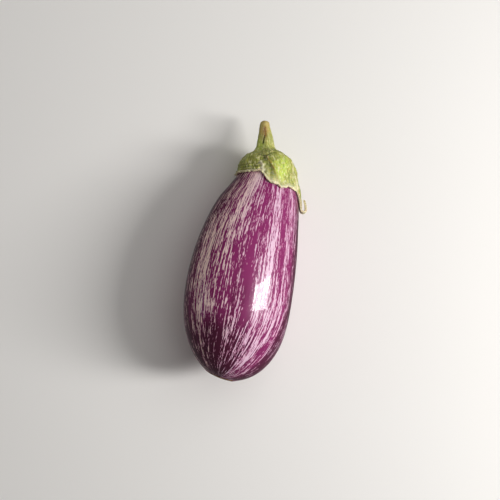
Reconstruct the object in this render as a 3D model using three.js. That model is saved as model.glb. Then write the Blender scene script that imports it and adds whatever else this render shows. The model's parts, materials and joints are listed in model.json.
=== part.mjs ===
// A striped eggplant, lying on its side as it rests on a table.
// Millimetres, +Z up. +Y runs from the blossom end to the stem. +X is to the right of that, from above.
// The fruit is one solid. The green calyx and its stem grew as one piece, so they are the other solid:
// a cap of five uneven lobes that lies on the fruit's shoulder, and the stub of stem that it grew on.
import * as THREE from "three";

// The fruit. Distances are measured from the blossom end, along the fruit's bent middle line.
const BELLY_RADIUS = 40;
const BELLY_AT = 65;
const SHOULDER_AT = 168.5;
const BLOSSOM_FULLNESS = 2.45; // the exponent of the curve from the belly to the blossom end
const NECK_FULLNESS = 1.86; // the same, from the belly to the shoulder
const FRUIT_HEIGHT_SHARE = 0.98; // the fruit is a little lower than it is wide
const SCAR_RADIUS = 3; // the blossom scar, a blunt nub at the very end
const SCAR_HEIGHT = 0.6;

// The fruit isn't quite round: each of these bulges it by a share of its radius on so many sides. phase
// is where the first side is, and twist how far it drifts towards the shoulder, in radians.
const OVAL = { sides: 2, share: 0.018, phase: 0.8, twist: 0 };
const THREE_SIDED = { sides: 3, share: 0.008, phase: 0.9, twist: 0.7 };
const FIVE_SIDED = { sides: 5, share: 0.012, phase: 0.4, twist: 0 }; // only towards the blossom end

// The middle line's offsets, sideways and upwards: one every BEND_STEP, from BEND_FROM to past the stem.
const BEND_FROM = -28;
const BEND_STEP = 28;
const BEND_SIDEWAYS = [-0.6, -2.7, -4.7, -6.1, -4.8, -1.6, 3, 1.2, -3];
const BEND_UPWARDS = [0.8, 0.6, 0.4, 0, -0.2, -0.8, -1.8, -3.2, -4.4];

// How the fruit lies.
const REST_TILT = 4.5; // degrees that the stem end dips below the level
const FLAT_SPOT_DEPTH = 1.3; // how far the skin is pressed in where the fruit rests

// The stem.
const STEM_FOOT_AT = 172.6;
const STEM_FOOT_RADIUS = 7;
const STEM_CUT_AT = 193;
const STEM_CUT_RADIUS = 3.3;
const STEM_CUT_DOME = 1.8;
const STEM_CUT_BEVEL = 0.6;
const STEM_CUT_RINGS = [0.55, 0.92]; // shares of the stem's radius, across the domed cut
const STEM_TAPER = 1.2; // above 1, the stem is fuller near its foot
const STEM_RIDGES = 5;
const STEM_RIDGE_SHARE = 0.06; // how far a ridge stands out, as a share of the stem's radius
const STEM_RIDGE_TURN = 4; // degrees from the top to the first ridge
const STEM_RIDGE_FADE = 0.6; // how much of a ridge is gone at the cut

// The calyx. Lengths are measured over the fruit's skin from the top of its shoulder.
const SKIN_GAP = 0.32; // the room left between the fruit's skin and the calyx
const CAP_STARTS_AT = 8.8;
const FLESH_THICKNESS = 4.3; // the calyx is fleshy round the stem and thin at its rim
const FLESH_THINS_FROM = 17;
const FLESH_THINS_TO = 35;
const THIN_BY_SHARE = 0.97; // a short lobe is thin by this share of its length
const RIM_THICKNESS = 1.1;
const KNUCKLE_HEIGHT = 1.7; // the fleshy part swells on the right
const KNUCKLE_AT = 66; // degrees
const KNUCKLE_HALF_WIDTH = 70; // degrees
const FOLD_HALF_WIDTH = 32; // degrees
const CREASE_DEPTH = 0.8; // the groove where two lobes meet
const CREASE_HALF_WIDTH = 6; // degrees
const LIFT_LENGTH = 9; // how much of a lobe's end stands off the skin
const RIM_LIFT = 0.2; // how far the rim does, all the way round
const RELIEF_AT_STEM = 0.15; // how far into their rise the folds and creases are where the cap starts
const TEAR_PER_DEGREE = 0.24; // the torn rim's two waves, in radians
const TEAR_PER_COLUMN = 0.9;
const TEAR_FADE = 6; // the power that the tearing fades by towards a notch

// Where two lobes meet: the angle round the fruit, in degrees from the top towards +X, and the rim's
// length there. The last notch is the first one again, a full turn on.
const NOTCHES = [
  { at: -9, length: 27.5 },
  { at: 64, length: 40.2 },
  { at: 124, length: 27 },
  { at: 186, length: 25 },
  { at: 251, length: 23.5 },
  { at: 351, length: 27.5 },
];
// The lobes between them, in the same order. fullness is how blunt the lobe is, taper how much its columns
// lean to its tip, and ragged how torn its rim is. lift is how far its end stands off the skin, and fold how
// high its midrib is. columns is how many columns of faces the lobe is cut into.
const LOBES = [
  { tip: 38, length: 40.2, fullness: 3, taper: 1, ragged: 0.35, lift: 0.5, fold: 1.6, columns: 20 },
  { tip: 92, length: 67, fullness: 2.8, taper: 5.5, ragged: 0, lift: 0, fold: 0.4, columns: 26 },
  { tip: 155, length: 41, fullness: 1.8, taper: 1.5, ragged: 0.25, lift: 2.2, fold: 1, columns: 14 },
  { tip: 219, length: 38, fullness: 1.8, taper: 1.5, ragged: 0.25, lift: 1.6, fold: 1, columns: 14 },
  { tip: 302, length: 28.5, fullness: 3, taper: 1, ragged: 0.25, lift: 0.1, fold: 0.6, columns: 16 },
];
const FRONT_LOBE = LOBES[0];
const FRONT_MIDRIB_AT = 13; // degrees: the front lobe's fold isn't over its tip
const TIP_BLUNTNESS = 0.12; // above 0, a tapering lobe's tip is blunt
// The long side lobe leaves the skin here, turns out in a hook and ends curling back over itself.
const SIDE_LOBE = LOBES[1];
const SIDE_LOBE_EXTRA_THICKNESS = 0.45;
const HOOK_STARTS_AT = 52.5;
const HOOK_RADIUS = 2;
const HOOK_TURN = Math.PI;
const CURL_RADIUS = 19;

// How finely the curved surfaces are cut into faces.
const FRUIT_COLUMNS = 60;
const FRUIT_RINGS = 36;
const STEM_RINGS = 6;
const RINGS_BEFORE_HOOK = 9;
const RINGS_PAST_HOOK = 8;
const SHOULDER_RINGS = 3;
const MERIDIAN_STEP = Math.PI / 180;

const radians = THREE.MathUtils.degToRad;
const mix = THREE.MathUtils.lerp;
const smoothstep = (x) => THREE.MathUtils.smoothstep(x, 0, 1);
const up = new THREE.Vector3(0, 0, 1);

const middleLine = new THREE.CatmullRomCurve3(
  BEND_SIDEWAYS.map((x, i) => new THREE.Vector3(x, BEND_FROM + i * BEND_STEP, BEND_UPWARDS[i])),
);
const shareOfLine = (at) => (at - BEND_FROM) / (BEND_STEP * (BEND_SIDEWAYS.length - 1));

// A point at an angle and a radius round the middle line.
function roundMiddleLine(at, angle, radius) {
  const t = shareOfLine(at);
  const along = middleLine.getTangent(t);
  const right = along.clone().cross(up).normalize();
  const top = right.clone().cross(along);
  return middleLine
    .getPoint(t)
    .addScaledVector(right, radius * Math.sin(angle))
    .addScaledVector(top, radius * Math.cos(angle) * FRUIT_HEIGHT_SHARE);
}

// The share of its radius that the fruit has at one place, for being not quite round.
function unevenness(angle, turn) {
  const bulge = ({ sides, share, phase, twist }) => share * Math.cos(sides * angle + phase + twist * turn);
  const towardsBlossom = (Math.sin(turn) * (1 + Math.cos(turn))) / 2;
  return 1 + bulge(OVAL) + bulge(THREE_SIDED) + towardsBlossom * bulge(FIVE_SIDED);
}

// A point on the skin. turn runs from 0 at the blossom end, over a quarter turn at the belly, to a half
// turn at the shoulder.
function skin(angle, turn) {
  const beforeBelly = turn < Math.PI / 2;
  const fullness = beforeBelly ? BLOSSOM_FULLNESS : NECK_FULLNESS;
  const reach = beforeBelly ? -BELLY_AT : SHOULDER_AT - BELLY_AT;
  const radius = BELLY_RADIUS * Math.sin(turn) * unevenness(angle, turn);
  const nub = SCAR_HEIGHT * Math.exp(-((radius / SCAR_RADIUS) ** 2)) * (beforeBelly ? 1 : 0);
  const at = BELLY_AT + reach * Math.abs(Math.cos(turn)) ** (2 / fullness) - nub;
  return roundMiddleLine(at, angle, radius);
}

// Closes a stack of rings, each a list of points or a single pole, into one surface. Each of its
// four-sided faces is cut along the shorter diagonal.
function closedSurface(rings) {
  const points = rings.flat();
  const apartSquared = (a, b) => points[a].distanceToSquared(points[b]);
  const index = [];
  let start = 0;
  for (let j = 0; j + 1 < rings.length; j++) {
    const [ring, onward] = [rings[j].length, rings[j + 1].length];
    for (let i = 0; i < Math.max(ring, onward); i++) {
      const [a, b] = [start + (i % ring), start + ((i + 1) % ring)];
      const [c, d] = [start + ring + (i % onward), start + ring + ((i + 1) % onward)];
      if (a === b) index.push(a, d, c);
      else if (c === d) index.push(a, b, d);
      else if (apartSquared(a, d) <= apartSquared(b, c)) index.push(a, b, d, a, d, c);
      else index.push(a, b, c, b, d, c);
    }
    start += ring;
  }
  const geometry = new THREE.BufferGeometry().setFromPoints(points);
  geometry.setIndex(index);
  geometry.computeVertexNormals();
  return geometry;
}

// The fruit, with its lowest skin pressed flat where it rests.
function fruitGeometry() {
  const rings = [[skin(0, 0)]];
  for (let j = 1; j < FRUIT_RINGS; j++) {
    const turn = (Math.PI * j) / FRUIT_RINGS;
    const column = (_, i) => skin((2 * Math.PI * i) / FRUIT_COLUMNS, turn);
    rings.push(Array.from({ length: FRUIT_COLUMNS }, column));
  }
  rings.push([skin(0, Math.PI)]);
  // Up, as the table sees it, in the fruit's own frame.
  const upright = up.clone().applyAxisAngle(new THREE.Vector3(1, 0, 0), radians(REST_TILT));
  const lowest = Math.min(...rings.flat().map((point) => point.dot(upright)));
  for (const point of rings.flat()) {
    const sunk = lowest + FLAT_SPOT_DEPTH - point.dot(upright);
    if (sunk > 0) point.addScaledVector(upright, sunk);
  }
  return closedSurface(rings);
}

// The place on the skin at an angle and a length from the shoulder: the point, the outward normal and
// the way down towards the blossom end.
function placeOn(angle, length) {
  const at = (step) => skin(angle, Math.PI - step * MERIDIAN_STEP);
  let covered = 0;
  let step = 0;
  let [here, next] = [at(0), at(1)];
  while (covered + here.distanceTo(next) < length) {
    covered += here.distanceTo(next);
    step += 1;
    [here, next] = [next, at(step + 1)];
  }
  const place = step + (length - covered) / here.distanceTo(next);
  const point = at(place);
  const down = at(place + 0.5).sub(at(place - 0.5)).normalize();
  const sideways = skin(angle + MERIDIAN_STEP, Math.PI - place * MERIDIAN_STEP).sub(point);
  return { point, down, normal: down.clone().cross(sideways).normalize() };
}

// A point of the calyx at an angle and a length, standing off the skin, and round the hook past its start.
function onCalyx(angle, length, standOff) {
  const { point, normal, down } = placeOn(angle, Math.min(length, HOOK_STARTS_AT));
  if (length <= HOOK_STARTS_AT) return point.addScaledVector(normal, standOff);
  const middle = SKIN_GAP + (RIM_THICKNESS + SIDE_LOBE_EXTRA_THICKNESS) / 2;
  const past = length - HOOK_STARTS_AT;
  const turned = Math.min(past / HOOK_RADIUS, HOOK_TURN);
  const curled = Math.max(0, past - HOOK_RADIUS * HOOK_TURN) / CURL_RADIUS;
  const outwards = (turn) =>
    normal.clone().multiplyScalar(Math.cos(turn)).addScaledVector(down, -Math.sin(turn));
  return point
    .addScaledVector(normal, HOOK_RADIUS + middle)
    .addScaledVector(outwards(turned), curled > 0 ? CURL_RADIUS - HOOK_RADIUS : -HOOK_RADIUS)
    .addScaledVector(outwards(turned + curled), standOff - middle - (curled > 0 ? CURL_RADIUS : 0));
}

// The calyx's columns. across runs from 0 at a lobe's tip to 1 at the notch beside it, and rim is the
// column's length. crowding is above 1 where the rings stand closer at the rim, so that they cross a long
// lobe squarely.
function calyxColumns() {
  return LOBES.flatMap((lobe, k) =>
    Array.from({ length: lobe.columns }, (_, i) => {
      const notch = 2 * i < lobe.columns ? NOTCHES[k] : NOTCHES[k + 1];
      const across = Math.abs((2 * i) / lobe.columns - 1);
      const degrees = mix(lobe.tip, notch.at, across);
      const tear = Math.sin(TEAR_PER_DEGREE * degrees + 1) + Math.sin(TEAR_PER_COLUMN * i);
      const torn = lobe.ragged * (1 - across ** TEAR_FADE) * tear;
      const rim = mix(lobe.length, notch.length, across ** lobe.fullness) + torn;
      const shortness = (lobe.length - CAP_STARTS_AT) / (rim - CAP_STARTS_AT);
      return { lobe, notch, across, rim, crowding: 1 + (shortness ** 2 - 1) * (1 - across ** 2) };
    }),
  );
}

// A column's angle in degrees, at a share of its length from the stem: it leans to the lobe's tip as it
// nears the rim.
function angleOf({ lobe, notch, across }, share) {
  const gathered = mix(across ** lobe.taper, across, TIP_BLUNTNESS);
  return mix(lobe.tip, notch.at, mix(across, gathered, smoothstep(share)));
}

// The rings' places, as shares of the way from the stem to the rim. They stand closer at the hook.
function ringShares() {
  const hookShare = (HOOK_STARTS_AT - CAP_STARTS_AT) / (SIDE_LOBE.length - CAP_STARTS_AT);
  const spread = (count, a, b) => Array.from({ length: count }, (_, j) => mix(a, b, j / count));
  return [...spread(RINGS_BEFORE_HOOK, 0, hookShare), ...spread(RINGS_PAST_HOOK, hookShare, 1), 1];
}

const apart = (a, b) => Math.abs(((a - b + 540) % 360) - 180);

// How far the folded midribs and the creases between lobes raise or lower the calyx at one angle.
function relief(degrees) {
  const midribAt = (lobe) => (lobe === FRONT_LOBE ? FRONT_MIDRIB_AT : lobe.tip);
  const folds = LOBES.map((lobe) => lobe.fold * (1 - apart(degrees, midribAt(lobe)) / FOLD_HALF_WIDTH));
  const creases = NOTCHES.map(({ at }) => Math.exp(-((apart(degrees, at) / CREASE_HALF_WIDTH) ** 2)));
  return Math.max(...folds, 0) - CREASE_DEPTH * Math.max(...creases);
}

// The calyx's thickness: fleshy round the stem, most of all at the knuckle, and thin at the rim.
function thicknessAt(degrees, length, { lobe, across, rim }) {
  const fromKnuckle = apart(degrees, KNUCKLE_AT) / KNUCKLE_HALF_WIDTH;
  const fleshy = FLESH_THICKNESS + KNUCKLE_HEIGHT * (1 - smoothstep(fromKnuckle));
  const thinsTo = Math.min(THIN_BY_SHARE * rim, FLESH_THINS_TO);
  const tipwards = smoothstep((length - HOOK_STARTS_AT) / (SIDE_LOBE.length - HOOK_STARTS_AT));
  const extra = lobe === SIDE_LOBE ? SIDE_LOBE_EXTRA_THICKNESS * (1 - across ** 2) * (1 - tipwards) : 0;
  const thinned = smoothstep((length - FLESH_THINS_FROM) / (thinsTo - FLESH_THINS_FROM));
  return mix(fleshy, RIM_THICKNESS + extra, thinned);
}

// The room between the skin and the calyx's underside, wider where a lobe's end lifts off.
function gapAt(length, { lobe, across, rim }) {
  const end = smoothstep(1 - (rim - length) / LIFT_LENGTH);
  return SKIN_GAP + (lobe.lift * (1 - across ** 2) + RIM_LIFT) * end ** 2;
}

// The stem's radius at an angle in degrees, at a share of the way from its foot to the cut.
function stemRadius(degrees, share) {
  const ridge = STEM_RIDGE_SHARE * Math.cos(STEM_RIDGES * radians(degrees - STEM_RIDGE_TURN));
  const round = mix(STEM_FOOT_RADIUS, STEM_CUT_RADIUS, share ** STEM_TAPER);
  return round * (1 + ridge * (1 - STEM_RIDGE_FADE * share));
}

// The calyx and its stem: from the cut down the stem, over the cap to the rim, and back underneath.
function calyxGeometry() {
  const columns = calyxColumns();
  // One ring, at a share of the way from stem to rim: make gets each column, its angle and its length.
  const around = (share, make) =>
    columns.map((column) => {
      const own = 1 - (1 - share) ** column.crowding;
      return make(column, angleOf(column, own), mix(CAP_STARTS_AT, column.rim, own));
    });
  const stemPoint = (at, degrees, radius) => roundMiddleLine(at, radians(degrees), radius);
  const stemRing = (at, reach, share) =>
    around(0, (column, degrees) => stemPoint(at, degrees, reach * stemRadius(degrees, share)));

  const rings = [[stemPoint(STEM_CUT_AT + STEM_CUT_DOME, 0, 0)]];
  for (const reach of STEM_CUT_RINGS) {
    rings.push(stemRing(STEM_CUT_AT + STEM_CUT_DOME * (1 - reach ** 2), reach, 1));
  }
  for (let j = 0; j < STEM_RINGS; j++) {
    const share = 1 - j / (STEM_RINGS - 1);
    rings.push(stemRing(mix(STEM_FOOT_AT, STEM_CUT_AT - STEM_CUT_BEVEL, share), 1, share));
  }
  const shares = ringShares();
  for (const share of shares) {
    const risen = Math.sin(Math.PI * mix(RELIEF_AT_STEM, 1, share));
    const outside = (column, degrees, length) => {
      const thickness = thicknessAt(degrees, length, column) + risen * relief(degrees);
      return onCalyx(radians(degrees), length, gapAt(length, column) + thickness);
    };
    rings.push(around(share, outside));
  }
  const underside = (column, degrees, length) => onCalyx(radians(degrees), length, gapAt(length, column));
  for (const share of shares.reverse()) rings.push(around(share, underside));
  for (let j = SHOULDER_RINGS - 1; j > 0; j--) {
    const length = (CAP_STARTS_AT * j) / SHOULDER_RINGS;
    rings.push(around(0, (column, degrees) => onCalyx(radians(degrees), length, SKIN_GAP)));
  }
  rings.push([roundMiddleLine(SHOULDER_AT + SKIN_GAP, 0, 0)]);
  return closedSurface(rings.reverse());
}

function named(name, geometry, material) {
  const mesh = new THREE.Mesh(geometry, material);
  mesh.name = name;
  return mesh;
}

const purpleSkin = new THREE.MeshStandardMaterial({ color: 0x7d2f62, roughness: 0.25, metalness: 0 });
const greenLeaf = new THREE.MeshStandardMaterial({ color: 0x93a34f, roughness: 0.7, metalness: 0 });

const lying = new THREE.Group();
lying.rotation.x = -radians(REST_TILT);
lying.add(named("fruit", fruitGeometry(), purpleSkin));
lying.add(named("calyx", calyxGeometry(), greenLeaf));

// The origin is under the middle of the whole, on the surface that it rests on.
const eggplant = new THREE.Group();
eggplant.add(lying);
eggplant.updateMatrixWorld(true);
const extent = new THREE.Box3().setFromObject(eggplant, true);
const middle = extent.getCenter(new THREE.Vector3());
lying.position.set(-middle.x, -middle.y, -extent.min.z);

export default eggplant;
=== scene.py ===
"""A striped eggplant lying on a pale floor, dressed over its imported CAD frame.

Everything is in metres in the frame of the CAD part: +Z up, +Y from the blossom end to the stem, +X to the
right of that seen from above. Sizes are given in millimetres where their names end in _mm.
"""

from __future__ import annotations

import json
import logging
import math
from dataclasses import dataclass, field
from enum import Enum
from functools import cache
from typing import Any

import bpy
import numpy as np
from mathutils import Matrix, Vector, kdtree, noise

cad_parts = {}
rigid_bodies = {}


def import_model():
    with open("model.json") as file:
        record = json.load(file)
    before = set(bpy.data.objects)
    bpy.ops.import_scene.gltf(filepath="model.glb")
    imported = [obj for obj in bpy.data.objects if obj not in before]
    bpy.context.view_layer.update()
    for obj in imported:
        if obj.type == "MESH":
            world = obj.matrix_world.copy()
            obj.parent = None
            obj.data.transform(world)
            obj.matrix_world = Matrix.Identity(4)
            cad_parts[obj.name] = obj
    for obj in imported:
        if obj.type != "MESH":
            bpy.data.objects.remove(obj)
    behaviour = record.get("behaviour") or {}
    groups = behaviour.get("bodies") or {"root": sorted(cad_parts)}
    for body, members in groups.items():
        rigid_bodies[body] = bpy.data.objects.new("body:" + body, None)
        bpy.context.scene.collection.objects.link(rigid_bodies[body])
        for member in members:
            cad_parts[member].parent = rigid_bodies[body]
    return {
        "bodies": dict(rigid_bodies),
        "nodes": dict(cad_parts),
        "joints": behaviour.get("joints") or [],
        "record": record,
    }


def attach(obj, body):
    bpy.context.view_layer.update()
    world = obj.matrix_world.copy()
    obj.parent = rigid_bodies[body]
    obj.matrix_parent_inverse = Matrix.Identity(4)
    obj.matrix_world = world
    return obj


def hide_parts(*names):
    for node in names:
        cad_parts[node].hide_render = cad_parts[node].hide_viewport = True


LOG = logging.getLogger("eggplant")
MM = 0.001
BODY = "root"
JOINED_WITHIN_M = 1e-6
PAIRED_WITHIN_DEGREES = 60
PAIR_SKEW_DEGREES = 70
NOISE_DETAIL = 2.0
NOISE_MEAN = 0.5

Array = np.ndarray
Place = tuple[float, float, float]


# Helpers for colours and nodes.


def linear(hex_colour: str) -> tuple[float, float, float, float]:
    """Turns an sRGB hex colour into the linear one that Blender takes.

    Args:
        hex_colour: six hex digits, such as "7d2f62".

    Returns:
        Linear red, green, blue and an alpha of 1.
    """
    parts = [int(hex_colour[i : i + 2], 16) / 255 for i in (0, 2, 4)]
    red, green, blue = (c / 12.92 if c <= 0.04045 else ((c + 0.055) / 1.055) ** 2.4 for c in parts)
    return red, green, blue, 1.0


def add(
    tree: bpy.types.NodeTree, kind: str, inputs: dict[Any, Any] | None = None, **settings: Any
) -> bpy.types.Node:
    """Adds a node with its settings and links.

    Args:
        tree: the material's node tree.
        kind: the node's type without its ShaderNode prefix.
        inputs: for each input's name or number, a value or another node's output socket.
        settings: properties of the node itself.

    Returns:
        The new node.
    """
    node = tree.nodes.new(f"ShaderNode{kind}")
    for name, value in settings.items():
        setattr(node, name, value)
    for key, value in (inputs or {}).items():
        if isinstance(value, bpy.types.NodeSocket):
            tree.links.new(value, node.inputs[key])
        else:
            node.inputs[key].default_value = value
    return node


def attribute(tree: bpy.types.NodeTree, name: str) -> bpy.types.NodeSocket:
    """The numbers that the piece stores under a name."""
    return add(tree, "Attribute", attribute_name=name).outputs["Fac"]


def multiply_add(tree: bpy.types.NodeTree, value: Any, factor: Any, plus: Any) -> bpy.types.NodeSocket:
    """A value times a factor, plus another."""
    return add(tree, "Math", {0: value, 1: factor, 2: plus}, operation="MULTIPLY_ADD").outputs[0]


def between(
    tree: bpy.types.NodeTree, value: Any, low: float, high: float, most: float = 1.0
) -> bpy.types.NodeSocket:
    """Rises smoothly from 0 where the value is low to most where it is high."""
    inputs = {"Value": value, "From Min": low, "From Max": high, "To Max": most}
    return add(tree, "MapRange", inputs, interpolation_type="SMOOTHSTEP").outputs[0]


def blend(tree: bpy.types.NodeTree, share: Any, first: Any, second: Any) -> bpy.types.NodeSocket:
    """Goes from the first colour to the second, each a hex colour or a socket, as the share rises."""
    first, second = (linear(c) if isinstance(c, str) else c for c in (first, second))
    return add(tree, "Mix", {0: share, 6: first, 7: second}, data_type="RGBA").outputs[2]


def drawn_noise(
    tree: bpy.types.NodeTree, lines: str, width_mm: float, length_mm: float, seed: float
) -> bpy.types.NodeSocket:
    """Noise drawn out along the lines that an attribute describes.

    Args:
        tree: the material's node tree.
        lines: the attribute, a place in millimetres whose third part runs along the lines.
        width_mm: the size of the noise across the lines.
        length_mm: its size along them.
        seed: where in the noise it is cut from.

    Returns:
        The socket of the noise, 0.5 on average.
    """
    places = add(tree, "Attribute", attribute_name=lines).outputs["Vector"]
    scale = (1 / width_mm, 1 / width_mm, 1 / length_mm)
    drawn = add(tree, "Mapping", {"Vector": places, "Scale": scale, "Location": (seed, seed, seed)})
    inputs = {"Vector": drawn.outputs[0], "Scale": 1.0, "Detail": NOISE_DETAIL}
    return add(tree, "TexNoise", inputs).outputs["Fac"]


def even_noise(tree: bpy.types.NodeTree, size_mm: float) -> bpy.types.NodeSocket:
    """Noise of one size in all directions, 0.5 on average.

    Args:
        tree: the material's node tree.
        size_mm: the size of its features.

    Returns:
        The socket of the noise.
    """
    places = add(tree, "TexCoord").outputs["Object"]
    inputs = {"Vector": places, "Scale": 1 / (size_mm * MM), "Detail": NOISE_DETAIL}
    return add(tree, "TexNoise", inputs).outputs["Fac"]


# Helpers for meshes.


def deselect_all() -> None:
    """Leaves nothing selected and nothing active."""
    for thing in bpy.context.scene.objects:
        thing.select_set(False)
    bpy.context.view_layer.objects.active = None


def select_only(piece: bpy.types.Object) -> None:
    """Makes one object the only selected one, and the active one.

    Args:
        piece: the object.
    """
    deselect_all()
    piece.select_set(True)
    bpy.context.view_layer.objects.active = piece


def read_vertices(piece: bpy.types.Object, what: str) -> Array:
    """Reads something of each of the piece's vertices.

    Args:
        piece: the piece.
        what: "co" for the places in metres, or "normal" for the normals.

    Returns:
        One row for each vertex.
    """
    flat = np.empty(len(piece.data.vertices) * 3, np.float32)
    piece.data.vertices.foreach_get(what, flat)
    return flat.reshape(-1, 3).astype(float)


def move_to(piece: bpy.types.Object, places_mm: Array) -> None:
    """Puts the piece's vertices at the given places, in millimetres."""
    piece.data.vertices.foreach_set("co", (places_mm * MM).astype(np.float32).ravel())
    piece.data.update()


def write_attribute(piece: bpy.types.Object, name: str, values: Array) -> None:
    """Stores one number or one vector per vertex, for the piece's material to read.

    Args:
        piece: the piece.
        name: what the material reads it by.
        values: a number or a row of three for each vertex.
    """
    kind, key = ("FLOAT", "value") if values.ndim == 1 else ("FLOAT_VECTOR", "vector")
    stored = piece.data.attributes.new(name, kind, "POINT")
    stored.data.foreach_set(key, values.astype(np.float32).ravel())


def smooth_between(low: float, high: float, values: Array) -> Array:
    """Rises smoothly from 0 at low to 1 at high."""
    share = np.clip((values - low) / (high - low), 0, 1)
    return share * share * (3 - 2 * share)


def hump(start: float, full: float, falling: float, end: float, values: Array) -> Array:
    """Rises smoothly from 0 at start to 1 at full, and falls from falling to 0 at end."""
    return smooth_between(start, full, values) * (1 - smooth_between(falling, end, values))


def bell(values: Array, half_width: float) -> Array:
    """Falls from 1 at 0 to almost nothing past the half width."""
    return np.exp(-((values / half_width) ** 2))


def noise_at(places: Array, size: float) -> Array:
    """Smooth noise between about -1 and 1 at each place, with features of about the given size."""
    return np.array([noise.noise(Vector(place)) for place in places / size])


def merged_copy(node: str, name: str) -> bpy.types.Object:
    """Copies a CAD node into a new piece that replaces it, with its triangles joined and paired.

    Args:
        node: the CAD node.
        name: the new piece's name.

    Returns:
        The new piece, in the node's place.
    """
    deselect_all()
    source = packed_frame()["nodes"][node]
    piece = bpy.data.objects.new(name, source.data.copy())
    bpy.context.scene.collection.objects.link(piece)
    piece.data.materials.clear()
    select_only(piece)
    bpy.ops.object.mode_set(mode="EDIT")
    bpy.ops.mesh.select_all(action="SELECT")
    bpy.ops.mesh.remove_doubles(threshold=JOINED_WITHIN_M)
    bpy.ops.mesh.tris_convert_to_quads(
        face_threshold=math.radians(PAIRED_WITHIN_DEGREES), shape_threshold=math.radians(PAIR_SKEW_DEGREES)
    )
    bpy.ops.object.mode_set(mode="OBJECT")
    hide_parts(node)
    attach(piece, BODY)
    return piece


def refine(piece: bpy.types.Object, levels: int) -> None:
    """Divides the piece's faces into a finer, smooth surface.

    Args:
        piece: the piece.
        levels: how many times over each face is divided in four.
    """
    select_only(piece)
    finer = piece.modifiers.new("finer", "SUBSURF")
    finer.levels = finer.render_levels = levels
    bpy.ops.object.modifier_apply(modifier=finer.name)
    bpy.ops.object.shade_smooth()


def sharp_edge_places(piece: bpy.types.Object, degrees: float, spacing_mm: float) -> Array:
    """Places along the piece's edges that are sharper than an angle.

    Args:
        piece: the piece.
        degrees: how far the faces on either side turn from each other.
        spacing_mm: the distance between places.

    Returns:
        The places in millimetres, one row each.
    """
    select_only(piece)
    bpy.ops.object.mode_set(mode="EDIT")
    bpy.ops.mesh.select_all(action="DESELECT")
    bpy.ops.mesh.select_mode(type="EDGE")
    bpy.ops.mesh.edges_select_sharp(sharpness=math.radians(degrees))
    bpy.ops.object.mode_set(mode="OBJECT")
    corners = read_vertices(piece, "co") / MM
    places = []
    for edge in piece.data.edges:
        if edge.select:
            start, end = corners[edge.vertices[0]], corners[edge.vertices[1]]
            steps = max(1, round(float(np.linalg.norm(end - start)) / spacing_mm))
            places.extend(start + (end - start) * step / steps for step in range(steps + 1))
    return np.array(places)


def nearest(sources: Array, places: Array) -> tuple[Array, Array]:
    """Finds which source is nearest to each place.

    Args:
        sources: the places to choose from, one row each.
        places: the places to look from, one row each.

    Returns:
        The row of the nearest source for each place, and how far it is.
    """
    tree = kdtree.KDTree(len(sources))
    for index, source in enumerate(sources):
        tree.insert(Vector(source), index)
    tree.balance()
    found = [tree.find(Vector(place)) for place in places]
    return np.array([index for _, index, _ in found]), np.array([distance for _, _, distance in found])


@cache
def packed_frame() -> dict[str, Any]:
    """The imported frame, loaded once."""
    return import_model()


# Marks on the skin and on the calyx.


class Stain(Enum):
    """The colours that a mark can have, each stored on the piece under its value. The dark one is painted
    shade, and the fresh green and the pale one are partly painted light.
    """

    BROWN = "browning"
    DARK = "painted_shade"
    PALE = "bleaching_and_painted_light"
    TAN = "drying"
    FRESH = "freshness_and_painted_light"


@dataclass(frozen=True)
class Mark:
    """A soft-edged line along places on a piece: stained, or painted with shade or light, and a little
    raised, or sunk (raised below 0).
    """

    stain: Stain
    strength: float
    half_width_mm: float
    raised_mm: float
    path_mm: tuple[Place, ...]

    def share(self, places: Array) -> Array:
        """Works out how much of the mark each place has from its distance to the line.

        Args:
            places: the places in millimetres, one row each.

        Returns:
            For each place, 1 on the line to 0 well away from it.
        """
        path = np.array(self.path_mm)
        gaps = []
        for start, end in zip(path[:-1], path[1:]):
            step = end - start
            along = np.clip((places - start) @ step / (step @ step), 0, 1)
            gaps.append(np.linalg.norm(places - start - along[:, None] * step, axis=1))
        return bell(np.min(gaps, axis=0), self.half_width_mm)


# The fruit.


@dataclass(frozen=True)
class Band:
    """A lengthwise band in which the skin is paler or darker than round it; some darker bands are painted
    shade.

    Its middle runs from one angle round the fruit to another, in degrees from the top towards +X, as the
    distance from the blossom scar goes from start to end. Its half width is in degrees too.
    """

    angle_at_start: float
    angle_at_end: float
    half_width: float
    start_mm: float
    end_mm: float
    amount: float
    fade_mm: float = 12.0
    side_steepness: float = 2.6

    def at(self, angle: Array, along: Array) -> Array:
        """Works out how much this band adds at each place.

        Args:
            angle: the places' angles round the fruit, in degrees.
            along: their distances from the scar, in millimetres.

        Returns:
            The band's amount in its middle, and less towards its sides and ends.
        """
        share = np.clip((along - self.start_mm) / (self.end_mm - self.start_mm), 0, 1)
        middle = self.angle_at_start + share * (self.angle_at_end - self.angle_at_start)
        off = (angle - middle + 180) % 360 - 180
        across = np.exp(-((np.abs(off) / self.half_width) ** self.side_steepness))
        start, end = self.start_mm, self.end_mm
        ends = hump(start - self.fade_mm, start, end, end + self.fade_mm, along)
        return self.amount * across * ends


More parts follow.
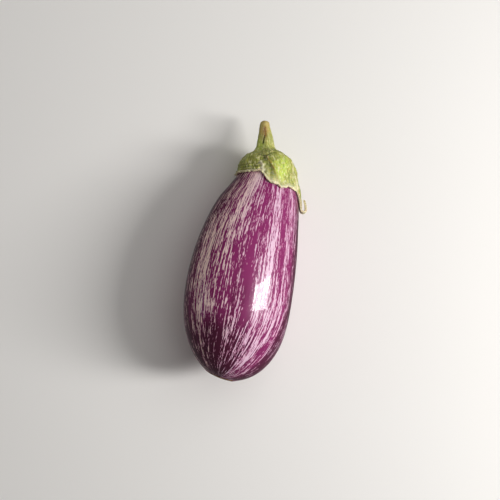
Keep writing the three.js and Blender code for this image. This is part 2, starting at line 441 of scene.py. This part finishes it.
@dataclass
class Fruit:
    """The fruit's skin: a finer copy of its CAD solid, with the lines that its streaks follow.

    The streaks run out from the blossom scar, which lies a little to the left of the fruit's very end.
    """

    levels: int = 2
    scar_mm: Place = (-8.6, -94.1, 51.6)
    line_straight_from_mm: float = -30.0
    line_cuts: int = 60
    round_radius_mm: float = 40.0
    paleness: float = 0.375
    pale_bands: tuple[Band, ...] = (
        Band(-38, -22, 13, 58, 158, 0.135),
        Band(-22, -18, 6, 98, 160, 0.09),
        Band(-47, -47, 7, 60, 132, 0.085),
        Band(-74, -74, 12, 20, 150, -0.10),
        Band(-43, -43, 6, 22, 52, 0.07),
        Band(-10, -8, 8, 108, 152, 0.08),
        Band(5, 4, 7, 70, 122, -0.13),
        Band(11, 9, 5, 56, 82, -0.16),
        Band(-1, 2, 3, 46, 70, 0.08),
        Band(14, 12, 6, 105, 150, 0.04),
        Band(30, 30.5, 4.5, 80, 165, 0.30),
        Band(24, 24, 4, 80, 116, 0.12),
        Band(14, 23, 5, 16, 58, 0.17),
        Band(38, 36, 3, 30, 60, 0.08),
        Band(42, 43, 2.5, 30, 112, 0.12),
        Band(47, 47, 1.5, 48, 100, -0.14),
        Band(42, 43, 4, 116, 165, -0.12),
        Band(53, 53, 5, 52, 152, 0.15),
        Band(34, 51, 4.5, 14, 50, 0.16),
        Band(78, 78, 12, 20, 120, -0.17),
        Band(61, 62, 4, 22, 80, 0.10),
        Band(0, 0, 60, 2, 14, -0.10),
        Band(-64, -64, 8, 20, 60, -0.04),
        Band(-16, -16, 12, 26, 50, -0.05),
        Band(69, 70, 3, 26, 120, 0.10),
        Band(110, 107, 7, 25, 150, 0.18),
        Band(118, 121, 4, 30, 140, 0.14),
        Band(147, 144, 11, 40, 150, 0.16),
        Band(178, 176, 5, 20, 150, 0.24),
        Band(-90, -92, 9, 40, 150, 0.12),
        Band(-112, -114, 4, 20, 130, 0.22),
        Band(-138, -134, 12, 50, 150, 0.14),
        Band(-160, -162, 5, 20, 150, 0.20),
    )
    # Painted shade: the bands along the left side (-78), the right edge (82) and the top left beside the
    # calyx (-50) darken the skin where shade falls. The others darken it towards the blossom end, across the
    # lower middle and along the underside.
    dark_and_shaded_bands: tuple[Band, ...] = (
        Band(-78, -78, 26, 8, 160, 0.75, 30),
        Band(-36, -36, 28, 6, 34, 0.50, 30),
        Band(8, 8, 40, 6, 32, 0.80, 28),
        Band(-16, -16, 14, 30, 60, 0.25, 25),
        Band(4, 4, 12, 30, 66, 0.28, 22),
        Band(82, 82, 17, 10, 130, 0.75, 30),
        Band(-50, -50, 14, 122, 160, 0.40, 25),
        Band(160, 160, 60, 10, 160, 0.35, 25),
    )
    # Painted warm light: the cream streaks turn warmer towards the left side, as the dim light there tints
    # them.
    painted_warm_light_from_degrees: tuple[float, float] = (16.0, -44.0)
    crowded_mm: tuple[float, float] = (22.0, 46.0)
    scar: tuple[Mark, ...] = (
        Mark(Stain.BROWN, 1.0, 1.7, 0.35, ((-18.5, -91.0, 45.0), (-14.9, -92.5, 48.6), (-11.0, -93.6, 51.0))),
        Mark(Stain.BROWN, 1.0, 1.7, 0.35, ((-11.0, -93.6, 51.0), (-5.7, -94.6, 52.4), (-2.0, -95.3, 51.3))),
        Mark(Stain.BROWN, 1.0, 1.7, 0.35, ((-2.0, -95.3, 51.3), (1.0, -95.9, 49.5))),
        Mark(Stain.BROWN, 0.9, 3.2, 0.0, ((-14.5, -92.9, 45.6), (-8.0, -95.4, 47.4), (-2.5, -96.3, 46.8))),
    )
    piece: bpy.types.Object = field(init=False)

    def build(self) -> bpy.types.Object:
        """Makes the skin and stores on it what its material reads.

        Returns:
            The skin.
        """
        self.piece = merged_copy("fruit", "fruit_skin")
        refine(self.piece, self.levels)
        places = read_vertices(self.piece, "co") / MM
        angle, along = self.streak_coordinates(places)
        self.write_streaks(angle, along)
        corky = np.max([mark.strength * mark.share(places) for mark in self.scar], axis=0)
        write_attribute(self.piece, Stain.BROWN.value, corky)
        raised = np.max([mark.raised_mm * mark.share(places) for mark in self.scar], axis=0)
        move_to(self.piece, places + raised[:, None] * read_vertices(self.piece, "normal"))
        return self.piece

    def write_streaks(self, angle: Array, along: Array) -> None:
        """Stores the streaks' lines on the piece, and where the skin is pale, where it is dark (partly
        painted shade) and where painted warm light tints it.

        Args:
            angle: each vertex's angle, in degrees, as streak_coordinates gives it.
            along: its distance from the scar, in millimetres.
        """
        turn = np.radians(angle)
        across = (np.sin(turn) * self.round_radius_mm, np.cos(turn) * self.round_radius_mm)
        write_attribute(self.piece, "meridian", np.stack([*across, along], 1))
        pale = self.paleness + sum(band.at(angle, along) for band in self.pale_bands)
        write_attribute(self.piece, "paleness", pale)
        # The dark bands' sum, partly painted shade, stored as depth.
        depth = sum(band.at(angle, along) for band in self.dark_and_shaded_bands)
        write_attribute(self.piece, "depth", np.clip(depth, 0, 1))
        write_attribute(self.piece, "near_scar", 1 - smooth_between(*self.crowded_mm, along))
        # Painted warm light on the cream streaks of the left side.
        write_attribute(self.piece, "painted_warm_light", smooth_between(*self.painted_warm_light_from_degrees, angle))

    def streak_coordinates(self, places: Array) -> tuple[Array, Array]:
        """Each vertex's angle round the line that the streaks run round, and its distance from the scar.

        Args:
            places: the vertices, in millimetres.

        Returns:
            The angles in degrees, from the top towards +X, and the distances in millimetres.
        """
        lowest, highest = places[:, 1].min(), places[:, 1].max()
        cuts = np.linspace(lowest, highest, self.line_cuts)
        middles = [places[places[:, 1].argmin()][[0, 2]]]
        for low, high in zip(cuts[:-2], cuts[2:]):
            ring = places[(places[:, 1] >= low) & (places[:, 1] <= high)]
            middles.append((ring.min(0)[[0, 2]] + ring.max(0)[[0, 2]]) / 2)
        middles.append(places[places[:, 1].argmax()][[0, 2]])
        measured = np.array(middles)
        scar = np.array(self.scar_mm)
        on_line = smooth_between(scar[1], self.line_straight_from_mm, places[:, 1])
        x = scar[0] + (np.interp(places[:, 1], cuts, measured[:, 0]) - scar[0]) * on_line
        z = scar[2] + (np.interp(places[:, 1], cuts, measured[:, 1]) - scar[2]) * on_line
        angle = np.degrees(np.arctan2(places[:, 0] - x, places[:, 2] - z))
        return angle, np.linalg.norm(places - scar, axis=1)


@dataclass(frozen=True)
class StreakLayer:
    """One size of streak, and how much it breaks up the skin's colour."""

    width_mm: float
    length_mm: float
    weight: float
    seed: float
    widens_at_scar: float = 1.0

    def noise(self, tree: bpy.types.NodeTree) -> bpy.types.NodeSocket:
        """Adds the layer's streaks, wider in angle where the fruit narrows to its scar.

        Args:
            tree: the material's node tree.

        Returns:
            The socket of the streaks' noise, 0.5 on average.
        """
        streaks = drawn_noise(tree, "meridian", self.width_mm, self.length_mm, self.seed)
        if self.widens_at_scar == 1.0:
            return streaks
        wide = self.width_mm * self.widens_at_scar
        near = drawn_noise(tree, "meridian", wide, self.length_mm, self.seed)
        return add(tree, "Mix", {0: attribute(tree, "near_scar"), 2: streaks, 3: near}).outputs[0]


@dataclass(frozen=True)
class StripedSkin:
    """Eggplant skin: a smooth waxy cuticle over purple cells that are missing along cream streaks.

    The wax gives the eye a sharp window highlight over a soft deep colour.
    """

    purple: str = "84295f"
    deep_and_shaded_purple: str = "49192f"
    pink: str = "bd7599"
    cool_cream: str = "d6b5c8"
    cream_in_painted_warm_light: str = "f6d8cc"
    cork: str = "a2743f"
    dark_cork: str = "6b4327"
    layers: tuple[StreakLayer, ...] = (
        StreakLayer(0.85, 9.0, 1.6, 3.0, 2.1),
        StreakLayer(0.6, 2.2, 1.0, 17.0, 2.1),
        StreakLayer(1.6, 34.0, 1.1, 29.0),
        StreakLayer(9.0, 90.0, 0.35, 41.0),
    )
    patch_width_mm: float = 6.0
    patch_length_mm: float = 60.0
    patch_weight: float = 0.9
    patch_seed: float = 53.0
    deep_and_shaded_from: tuple[float, float] = (0.35, 1.35)
    pink_from: tuple[float, float] = (0.45, 0.53)
    cream_from: tuple[float, float] = (0.50, 0.66)
    cork_grain_mm: float = 1.4
    cork_grain_weight: float = 0.8
    cork_from: tuple[float, float] = (0.6, 1.1)
    cork_tones: tuple[float, float] = (0.42, 0.6)
    cork_roughness: float = 0.4
    roughness: float = 0.3
    specular: float = 0.12
    coat_weight: float = 0.42
    coat_ior: float = 1.32
    coat_roughness: float = 0.05
    relief_mm: float = 0.06
    relief_strength: float = 0.6

    def build(self) -> bpy.types.Material:
        """Makes the material.

        Returns:
            The material, for a piece with the fruit's attributes.
        """
        material = bpy.data.materials.new("waxy_striped_eggplant_skin")
        material.use_nodes = True
        tree = material.node_tree
        shader = tree.nodes["Principled BSDF"]
        lift = attribute(tree, "paleness")
        for layer in self.layers:
            lift = multiply_add(tree, layer.noise(tree), layer.weight, lift)
        lift = multiply_add(tree, lift, 1.0, -NOISE_MEAN * sum(layer.weight for layer in self.layers))
        patches = drawn_noise(tree, "meridian", self.patch_width_mm, self.patch_length_mm, self.patch_seed)
        # The depth attribute and the patches darken the purple, partly as painted shade.
        depth = multiply_add(tree, patches, self.patch_weight, attribute(tree, "depth"))
        dark = blend(tree, between(tree, depth, *self.deep_and_shaded_from), self.purple, self.deep_and_shaded_purple)
        # Painted warm light: the cream is warmer on the fruit's left side.
        cream = blend(tree, attribute(tree, "painted_warm_light"), self.cool_cream, self.cream_in_painted_warm_light)
        colour = blend(tree, between(tree, lift, *self.pink_from), dark, self.pink)
        colour = blend(tree, between(tree, lift, *self.cream_from), colour, cream)
        grain = even_noise(tree, self.cork_grain_mm)
        ragged = multiply_add(tree, grain, self.cork_grain_weight, attribute(tree, Stain.BROWN.value))
        corky = between(tree, ragged, *self.cork_from)
        cork = blend(tree, between(tree, grain, *self.cork_tones), self.dark_cork, self.cork)
        tree.links.new(blend(tree, corky, colour, cork), shader.inputs["Base Color"])
        relief = {"Height": lift, "Strength": self.relief_strength, "Distance": self.relief_mm * MM}
        tree.links.new(add(tree, "Bump", relief).outputs[0], shader.inputs["Normal"])
        rough = multiply_add(tree, corky, self.cork_roughness, self.roughness)
        tree.links.new(rough, shader.inputs["Roughness"])
        shader.inputs["Specular IOR Level"].default_value = self.specular
        shader.inputs["Coat Weight"].default_value = self.coat_weight
        shader.inputs["Coat IOR"].default_value = self.coat_ior
        shader.inputs["Coat Roughness"].default_value = self.coat_roughness
        return material


# The calyx and its stem.


@dataclass
class Calyx:
    """The fleshy green calyx with its stub of stem: a finer copy of its CAD solid, with folds and a torn rim.

    Angles are round the stem, in degrees from the top towards +X. Four numbers in one field are where a thing
    begins, is full, begins to fade and has gone.
    """

    levels: int = 2
    foot_mm: Place = (5.8, 76.0, 27.7)
    cut_mm: Place = (1.5, 97.2, 24.5)
    cut_from_mm: tuple[float, float] = (20.3, 21.2)
    rim_sharper_than: float = 65.0
    rim_spacing_mm: float = 0.3
    pattern_radius_mm: float = 20.0
    cap_from_along_mm: tuple[float, float] = (2.0, -3.0)
    lump_sizes: tuple[tuple[float, float], ...] = ((6.0, 0.90), (2.4, 0.50))
    lumps_on_stem: float = 0.35
    rib_size_mm: float = 2.2
    rib_stretch: float = 9.0
    rib_height_mm: float = 0.2
    ribs_on_stem: float = 0.3
    tear_sizes: tuple[tuple[float, float], ...] = ((3.6, 1.2), (1.3, 0.9))
    tear_reach_mm: float = 2.4
    outer_from_cosine: tuple[float, float] = (0.4, 0.8)
    hook_mm: Place = (38.8, 34.5, 31.5)
    hook_reach_mm: float = 10.0
    roll_height_mm: float = 0.35
    roll_width_mm: float = 1.0
    wrinkled_degrees: tuple[float, float, float, float] = (-105.0, -90.0, -22.0, -14.0)
    wrinkled_from_rim_mm: tuple[float, float, float, float] = (0.4, 2.0, 6.5, 8.5)
    wrinkle_spacing_mm: float = 2.3
    wrinkle_waver: float = 2.2
    wrinkle_waver_mm: float = 6.0
    wrinkle_depth_mm: float = 0.3
    groove_painted_shade: float = 0.5
    bleached_degrees: tuple[float, float, float, float] = (-14.0, -2.0, 70.0, 82.0)
    bleached_reach_mm: float = 5.5
    bleached_share: float = 0.5
    marks: tuple[Mark, ...] = (
        Mark(Stain.TAN, 0.80, 6.5, 0.0, ((1.5, 97.2, 26.0), (2.5, 91.0, 29.0))),
        Mark(Stain.TAN, 0.35, 5.0, 0.0, ((2.5, 91.0, 29.0), (4.0, 82.0, 31.0))),
        Mark(Stain.BROWN, 0.9, 1.7, -0.25, ((2.4, 91.0, 29.5), (3.3, 86.0, 31.2))),
        # Painted shade: the dark line down the shaded side of the stem's top ridge.
        Mark(Stain.DARK, 0.95, 0.6, -0.3, ((2.7, 85.2, 31.5), (2.4, 79.8, 32.6))),
        # Painted shade in the crease round the foot of the stem.
        Mark(Stain.DARK, 0.7, 0.8, -0.5, ((-0.2, 70.3, 42.2), (5.6, 70.4, 45.1), (12.0, 72.9, 41.8))),
        Mark(Stain.BROWN, 0.55, 0.8, 0.8, ((6.3, 69.2, 46.8), (9.5, 64.9, 50.8), (13.0, 59.8, 52.7))),
        Mark(Stain.BROWN, 0.45, 0.8, 0.5, ((13.0, 59.8, 52.7), (15.5, 54.6, 53.7), (16.6, 50.6, 55.5))),
        # Painted shade in the hollow left of the front lobe's crest.
        Mark(Stain.DARK, 0.5, 1.8, -0.9, ((5.0, 68.0, 46.5), (8.6, 62.5, 51.0), (11.4, 56.5, 53.5))),
        Mark(
            Stain.PALE,
            1.0,
            1.2,
            0.9,
            ((2.6, 64.5, 48.0), (4.3, 62.0, 50.0), (3.6, 60.6, 50.6), (5.3, 58.6, 51.8)),
        ),
        # Partly painted light: the dry cream edge on the right, brightened where it faces the lamp.
        Mark(Stain.PALE, 0.7, 1.4, 0.1, ((25.0, 67.0, 38.5), (28.2, 62.0, 38.0), (31.7, 49.4, 38.9))),
        # Partly painted shade: brown down the side lobe, darkest inside its curl where shade falls.
        Mark(Stain.BROWN, 0.75, 1.6, 0.0, ((32.0, 47.5, 40.0), (33.0, 44.0, 40.5), (35.5, 38.0, 34.0))),
        # Partly painted highlight: the cream edge of the curled tip, brightened as a highlight.
        Mark(Stain.PALE, 0.35, 2.2, 0.1, ((37.0, 31.7, 32.6), (40.0, 33.0, 31.5), (40.0, 40.0, 31.0))),
        # Partly painted light: a fresher green, brightened on the knuckle's facet that faces the lamp.
        Mark(Stain.FRESH, 0.8, 6.5, 0.4, ((19.0, 67.0, 45.0), (17.5, 59.0, 50.5))),
        Mark(Stain.FRESH, 0.6, 4.0, 0.0, ((0.0, 80.0, 31.0), (1.0, 75.0, 34.0))),
        Mark(Stain.FRESH, 0.3, 3.2, 1.2, ((22.5, 69.0, 37.0), (24.5, 66.0, 37.0))),
        Mark(Stain.PALE, 0.2, 2.6, 0.9, ((29.5, 57.0, 38.0), (30.5, 54.0, 39.0))),
        # Painted shade in a small dent.
        Mark(Stain.DARK, 0.2, 1.9, -0.8, ((26.5, 62.0, 42.0), (28.0, 61.0, 37.0))),
        Mark(Stain.FRESH, 0.2, 3.2, 0.9, ((-8.5, 68.0, 37.0), (-6.0, 69.0, 40.0))),
    )
    piece: bpy.types.Object = field(init=False)

    def build(self, fruit: bpy.types.Object) -> bpy.types.Object:
        """Makes the calyx over the fruit, and stores on it what its material reads.

        Args:
            fruit: the fruit's finished skin.

        Returns:
            The calyx.
        """
        self.piece = merged_copy("calyx", "calyx_leaf")
        rim = sharp_edge_places(self.piece, self.rim_sharper_than, self.rim_spacing_mm)
        refine(self.piece, self.levels)
        places = read_vertices(self.piece, "co") / MM
        facing = read_vertices(self.piece, "normal")
        _, from_rim = nearest(rim, places)
        under, _ = nearest(read_vertices(fruit, "co") / MM, places)
        outwards = read_vertices(fruit, "normal")[under]
        angle, along, reach = self.stem_coordinates(places)
        turn = np.radians(angle)
        across = (np.sin(turn) * self.pattern_radius_mm, np.cos(turn) * self.pattern_radius_mm)
        leaf = np.stack([*across, reach], 1)
        wrinkled = self.wrinkles(places, angle, from_rim)

        write_attribute(self.piece, "leaf", leaf)
        write_attribute(self.piece, "from_rim", from_rim)
        write_attribute(self.piece, "cut", smooth_between(*self.cut_from_mm, along))
        for stain, amount in self.stains(places, angle, from_rim, wrinkled).items():
            write_attribute(self.piece, stain.value, np.clip(amount, 0, 1))

        on_cap = smooth_between(*self.cap_from_along_mm, along)
        outer = smooth_between(*self.outer_from_cosine, np.sum(facing * outwards, axis=1))
        calm = 1 - bell(np.linalg.norm(places - self.hook_mm, axis=1), self.hook_reach_mm)
        height = self.relief(places, leaf, wrinkled, from_rim, on_cap) * np.maximum(outer, 1 - on_cap) * calm
        torn = self.tears(leaf, from_rim) * on_cap * calm
        # The rim tears along the fruit's skin, so no part of this direction is across it.
        down = np.array([0.0, -1.0, 0.0])
        down = down - (outwards @ down)[:, None] * outwards
        down /= np.linalg.norm(down, axis=1)[:, None]
        move_to(self.piece, places + height[:, None] * facing + torn[:, None] * down)
        return self.piece

    def relief(self, places: Array, leaf: Array, wrinkled: Array, from_rim: Array, on_cap: Array) -> Array:
        """Adds up the lumps, ribs, wrinkles and marks, and the roll along the rim.

        Args:
            places: the vertices, in millimetres.
            leaf: their places on the leaf's pattern.
            wrinkled: how far each is up or down a wrinkle.
            from_rim: how far each is from the rim, in millimetres.
            on_cap: 1 for those on the cap, 0 for those on the stem.

        Returns:
            How far each vertex is raised, in millimetres.
        """
        lumps = sum(height * noise_at(places, size) for size, height in self.lump_sizes)
        ribs = self.rib_height_mm * noise_at(leaf / (1, 1, self.rib_stretch), self.rib_size_mm)
        marks = sum(mark.raised_mm * mark.share(places) for mark in self.marks)
        roll = self.roll_height_mm * bell(from_rim, self.roll_width_mm) * on_cap
        lumps *= self.lumps_on_stem + (1 - self.lumps_on_stem) * on_cap
        ribs *= self.ribs_on_stem + (1 - self.ribs_on_stem) * on_cap
        return lumps + ribs + self.wrinkle_depth_mm * wrinkled + marks + roll

    def tears(self, leaf: Array, from_rim: Array) -> Array:
        """Works out how far the rim is drawn out or torn back.

        Args:
            leaf: the vertices' places on the leaf's pattern.
            from_rim: how far each is from the rim, in millimetres.

        Returns:
            How far each vertex moves along the fruit towards its blossom end, in millimetres.
        """
        torn = sum(depth * noise_at(leaf * (1, 1, 0), size) for size, depth in self.tear_sizes)
        return torn * bell(from_rim, self.tear_reach_mm)

    def stem_coordinates(self, places: Array) -> tuple[Array, Array, Array]:
        """Where the vertices are round and along the stem.

        Args:
            places: the vertices, in millimetres.

        Returns:
            The angles in degrees, the distances along the stem's axis past its foot, and the distances from
            the middle of the foot, below 0 on the stem.
        """
        foot = np.array(self.foot_mm)
        axis = np.array(self.cut_mm) - foot
        axis /= np.linalg.norm(axis)
        right = np.cross(axis, (0.0, 0.0, 1.0))
        right /= np.linalg.norm(right)
        top = np.cross(right, axis)
        offset = places - foot
        along = offset @ axis
        angle = np.degrees(np.arctan2(offset @ right, offset @ top))
        reach = np.linalg.norm(offset, axis=1)
        return angle, along, np.where(along > 0, -along, reach)

    def wrinkles(self, places: Array, angle: Array, from_rim: Array) -> Array:
        """Works out the folds that run along the rim of the left lobe.

        Args:
            places: the vertices, in millimetres.
            angle: their angles round the stem, in degrees.
            from_rim: how far each is from the rim, in millimetres.

        Returns:
            For each vertex, -1 in a groove to 1 on a crest, and 0 away from the folds.
        """
        turn = 2 * math.pi * from_rim / self.wrinkle_spacing_mm
        phase = turn + self.wrinkle_waver * noise_at(places, self.wrinkle_waver_mm)
        sideways = hump(*self.wrinkled_degrees, angle)
        return np.sin(phase) * sideways * hump(*self.wrinkled_from_rim_mm, from_rim)

    def stains(self, places: Array, angle: Array, from_rim: Array, wrinkled: Array) -> dict[Stain, Array]:
        """Works out how strongly each stain shows, with painted shade and painted light among them.

        Args:
            places: the vertices, in millimetres.
            angle: their angles round the stem, in degrees.
            from_rim: how far each is from the rim, in millimetres.
            wrinkled: how far each is up or down a wrinkle.

        Returns:
            For each stain, one number for each vertex.
        """
        amounts = {stain: np.zeros(len(places)) for stain in Stain}
        for mark in self.marks:
            amounts[mark.stain] = np.maximum(amounts[mark.stain], mark.strength * mark.share(places))
        front = hump(*self.bleached_degrees, angle) * bell(from_rim, self.bleached_reach_mm)
        amounts[Stain.PALE] += self.bleached_share * front
        # Painted shade in the grooves of the left lobe's wrinkles.
        amounts[Stain.DARK] += self.groove_painted_shade * np.clip(-wrinkled, 0, 1)
        return amounts


@dataclass(frozen=True)
class FleshyLeaf:
    """Fresh calyx flesh: a satin green surface with a dry cream rim, that scatters a little light.

    The uneven green, the specks and the dried edge tell the eye that it is a leaf and not a moulding. Three
    numbers in one field are where a colour begins, where it is full and how much of it covers what is below.
    The grain is coarser than the leaf's real pores, so that it shows.
    """

    green: str = "92963a"
    light_green: str = "c1c069"
    speck: str = "66702f"
    fresh_and_lit_green: str = "b9c94f"
    tan: str = "c2a855"
    brown: str = "9a6f32"
    dark: str = "3f4218"
    # The colour of the painted shade.
    cream: str = "e2dab2"
    edge: str = "a5764f"
    patch_mm: float = 4.5
    grain_mm: float = 0.9
    speck_mm: tuple[float, float] = (1.3, 2.2)
    speck_seed: float = 11.0
    fibre_mm: tuple[float, float] = (1.1, 16.0)
    fibre_seed: float = 5.0
    light_from: tuple[float, float] = (0.36, 0.66)
    green_from: tuple[float, float, float] = (0.42, 0.66, 0.45)
    dark_speck_from: tuple[float, float, float] = (0.56, 0.63, 0.6)
    pale_speck_from: tuple[float, float, float] = (0.44, 0.38, 0.55)
    rim_raggedness_mm: float = 2.4
    cream_rim_mm: tuple[float, float, float] = (3.3, 2.1, 0.9)
    dried_edge_mm: tuple[float, float, float] = (1.6, 1.15, 0.75)
    stain_raggedness: float = 0.9
    stain_from: tuple[float, float] = (0.5, 1.3)
    roughness: float = 0.34
    grain_roughness: float = 0.25
    scattered: float = 0.08
    scattering_depth: float = 0.003
    relief_mm: float = 0.5
    relief_strength: float = 0.8
    fibre_relief: float = 1.2
    grain_relief: float = 0.3

    def build(self) -> bpy.types.Material:
        """Makes the material.

        Returns:
            The material, for a piece with the calyx's attributes.
        """
        material = bpy.data.materials.new("fleshy_green_calyx")
        material.use_nodes = True
        tree = material.node_tree
        shader = tree.nodes["Principled BSDF"]
        patches = even_noise(tree, self.patch_mm)
        grain = even_noise(tree, self.grain_mm)
        specks = drawn_noise(tree, "leaf", *self.speck_mm, self.speck_seed)
        fibres = drawn_noise(tree, "leaf", *self.fibre_mm, self.fibre_seed)
        colour = blend(tree, between(tree, fibres, *self.light_from), self.green, self.light_green)
        colour = blend(tree, between(tree, patches, *self.green_from), colour, self.green)
        # Fresh green, partly painted light on the front knuckle.
        colour = blend(tree, self.broken(tree, Stain.FRESH, patches), colour, self.fresh_and_lit_green)
        colour = blend(tree, between(tree, specks, *self.dark_speck_from), colour, self.speck)
        colour = blend(tree, self.broken(tree, Stain.TAN, patches), colour, self.tan)
        colour = blend(tree, attribute(tree, "cut"), colour, self.tan)
        # Brown stains, and painted shade in brown inside the curled side lobe.
        colour = blend(tree, self.broken(tree, Stain.BROWN, grain), colour, self.brown)
        # Pale stains, partly painted light on the right edge and the curled tip.
        colour = blend(tree, self.broken(tree, Stain.PALE, grain), colour, self.cream)
        colour = blend(tree, between(tree, specks, *self.pale_speck_from), colour, self.cream)
        ragged = multiply_add(tree, grain, self.rim_raggedness_mm, attribute(tree, "from_rim"))
        colour = blend(tree, between(tree, ragged, *self.cream_rim_mm), colour, self.cream)
        colour = blend(tree, between(tree, ragged, *self.dried_edge_mm), colour, self.edge)
        # Painted shade: darkens the stem's shaded side, the creases, the dent and the wrinkle grooves.
        colour = blend(tree, self.broken(tree, Stain.DARK, grain), colour, self.dark)
        tree.links.new(colour, shader.inputs["Base Color"])
        low_relief = multiply_add(tree, grain, self.grain_relief, specks)
        height = multiply_add(tree, fibres, self.fibre_relief, low_relief)
        relief = {"Height": height, "Strength": self.relief_strength, "Distance": self.relief_mm * MM}
        tree.links.new(add(tree, "Bump", relief).outputs[0], shader.inputs["Normal"])
        rough = multiply_add(tree, grain, self.grain_roughness, self.roughness)
        tree.links.new(rough, shader.inputs["Roughness"])
        shader.inputs["Subsurface Weight"].default_value = self.scattered
        shader.inputs["Subsurface Scale"].default_value = self.scattering_depth
        return material

    def broken(
        self, tree: bpy.types.NodeTree, stain: Stain, breaks: bpy.types.NodeSocket
    ) -> bpy.types.NodeSocket:
        """A stain's share, broken up by noise where it is faint."""
        ragged = multiply_add(tree, breaks, self.stain_raggedness, attribute(tree, stain.value))
        return between(tree, ragged, *self.stain_from)


# The studio.


@dataclass(frozen=True)
class PaleFloor:
    """Matt pale paper, which shows only the object's soft shadow."""

    colour: str = "e9e6e2"
    roughness: float = 0.9
    specular: float = 0.1

    def build(self) -> bpy.types.Material:
        """Makes the material.

        Returns:
            The material, the same all over.
        """
        material = bpy.data.materials.new("matt_pale_paper")
        material.use_nodes = True
        shader = material.node_tree.nodes["Principled BSDF"]
        shader.inputs["Base Color"].default_value = linear(self.colour)
        shader.inputs["Roughness"].default_value = self.roughness
        shader.inputs["Specular IOR Level"].default_value = self.specular
        return material


@dataclass(frozen=True)
class SoftLight:
    """A rectangular light that points at a place on the object.

    Its light on surfaces (diffuse) or its image in them (mirrored) can be left out. Its distance and size
    are in metres.
    """

    name: str
    direction: Place
    distance: float
    size: tuple[float, float]
    power: float
    colour: str = "ffffff"
    diffuse: bool = True
    mirrored: bool = True
    aim_mm: Place = (14.0, -31.0, 74.0)

    def build(self) -> None:
        """Adds the light, with its height along the world's Z as far as it can be."""
        data = bpy.data.lights.new(self.name, "AREA")
        data.shape = "RECTANGLE"
        data.size, data.size_y = self.size
        data.energy = self.power
        data.color = linear(self.colour)[:3]
        light = bpy.data.objects.new(self.name, data)
        aim = Vector(self.aim_mm) * MM
        towards = Vector(self.direction).normalized()
        light.location = aim + towards * self.distance
        light.rotation_euler = towards.to_track_quat("Z", "Y").to_euler()
        light.visible_diffuse = self.diffuse
        light.visible_glossy = self.mirrored
        bpy.context.scene.collection.objects.link(light)


@dataclass
class Studio:
    """The pale floor, the lights and the camera, which looks straight down.

    The camera's frame gives the fruit its width in the photo's pixels at the height of its middle. The window
    is two lights: one lights the surfaces, and the brighter one in front of it is what they mirror.
    """

    camera_height: float = 0.900
    fruit_middle_height: float = 0.040
    fruit_width: float = 0.080
    fruit_width_pixels: int = 109
    lean_degrees: float = 7.19
    frame_pixels: int = 500
    sensor_width_mm: float = 36.0
    centre_mm: tuple[float, float] = (2.74, -0.54)
    floor_size: float = 4.0
    room_colour: str = "f2f1ee"
    room_strength: float = 0.16
    lights: tuple[SoftLight, ...] = (
        SoftLight("window", (0.81, 0.05, 0.58), 1.0, (0.19, 0.50), 10.5, mirrored=False),
        SoftLight("window_glint", (0.81, 0.05, 0.58), 0.98, (0.19, 0.49), 18.5, diffuse=False),
        SoftLight("soft_top", (0.35, 0.45, 1.0), 1.3, (1.2, 1.2), 5.5, mirrored=False),
        SoftLight("left_fill", (-0.98, -0.06, 0.22), 1.2, (0.4, 0.3), 0.6, "dfe6ff"),
    )

    def build(self) -> None:
        """Adds the floor, the world, the lights and the camera."""
        self.add_floor()
        self.add_world()
        for light in self.lights:
            light.build()
        self.add_camera()

    def add_floor(self) -> None:
        """Adds the floor, which stays out of mirror images so that the skin keeps its dark edges."""
        deselect_all()
        bpy.ops.mesh.primitive_plane_add(size=self.floor_size)
        floor = bpy.context.object
        floor.name = "pale_floor"
        floor.data.materials.append(PaleFloor().build())
        floor.visible_glossy = False

    def add_world(self) -> None:
        """Adds the dim even light of the room."""
        world = bpy.data.worlds.new("soft_room")
        bpy.context.scene.world = world
        world.use_nodes = True
        background = world.node_tree.nodes["Background"]
        background.inputs["Color"].default_value = linear(self.room_colour)
        background.inputs["Strength"].default_value = self.room_strength

    def add_camera(self) -> None:
        """Adds the camera above the object, turned so that the stem leans to the right as in the photo."""
        data = bpy.data.cameras.new("camera")
        data.sensor_width = self.sensor_width_mm
        frame_width = self.frame_pixels * (self.fruit_width / self.fruit_width_pixels)
        data.lens = data.sensor_width * (self.camera_height - self.fruit_middle_height) / frame_width
        camera = bpy.data.objects.new("camera", data)
        lean = math.radians(self.lean_degrees)
        right = Vector((math.cos(lean), math.sin(lean), 0.0))
        ahead = Vector((-math.sin(lean), math.cos(lean), 0.0))
        place = right * self.centre_mm[0] * MM + ahead * self.centre_mm[1] * MM
        camera.location = (place.x, place.y, self.camera_height)
        camera.rotation_euler = (0.0, 0.0, lean)
        bpy.context.scene.collection.objects.link(camera)
        bpy.context.scene.camera = camera
        bpy.context.scene.view_settings.view_transform = "Standard"


def main() -> None:
    """Builds the eggplant and its studio."""
    logging.basicConfig(level=logging.INFO, format="%(name)s: %(message)s")
    packed_frame()
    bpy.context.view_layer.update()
    fruit = Fruit().build()
    fruit.data.materials.append(StripedSkin().build())
    LOG.info("fruit: %d faces", len(fruit.data.polygons))
    calyx = Calyx().build(fruit)
    calyx.data.materials.append(FleshyLeaf().build())
    LOG.info("calyx: %d faces", len(calyx.data.polygons))
    Studio().build()


if __name__ == "__main__":
    main()
